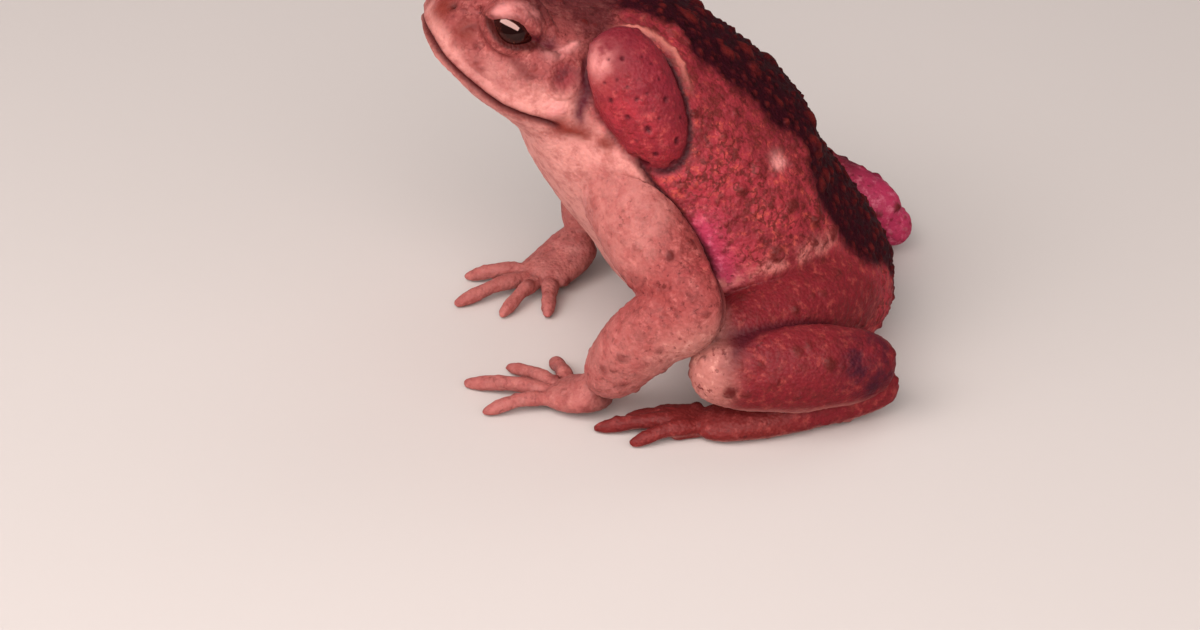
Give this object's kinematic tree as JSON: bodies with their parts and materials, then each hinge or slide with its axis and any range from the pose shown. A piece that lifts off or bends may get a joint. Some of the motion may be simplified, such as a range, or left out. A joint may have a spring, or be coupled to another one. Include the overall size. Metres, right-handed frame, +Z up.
{
  "type": "cane toad",
  "caption": "Life-size cane toad sitting upright, head raised, with large neck glands, bony brow crests, folded hind legs and turned-in hands.",
  "frame": {"origin": "middle of the footprint, on the floor", "axes": "-Y the way the toad faces, +X its left side, +Z up from the floor"},
  "size_m": [0.1118, 0.1144, 0.0903],
  "materials": {
    "skin": "warty, slightly moist reddish tan skin",
    "pale_skin": "smooth, pale pinkish cream skin",
    "gland_skin": "taut skin with pores, redder than the rest",
    "eardrum": "thin smooth skin",
    "eye": "wet, glossy, nearly black"
  },
  "bodies": {
    "root": {"head": "skin", "lower_jaw": "pale_skin", "torso": "skin", "eye_left": "eye", "eye_right": "eye", "eardrum_left": "eardrum", "eardrum_right": "eardrum", "parotoid_left": "gland_skin", "parotoid_right": "gland_skin", "upper_arm_left": "skin", "upper_arm_right": "skin", "forearm_left": "skin", "forearm_right": "skin", "hand_left": "skin", "hand_right": "skin", "thigh_left": "skin", "thigh_right": "skin", "shank_left": "skin", "shank_right": "skin", "foot_left": "skin", "foot_right": "skin"}
  },
  "joints": []
}
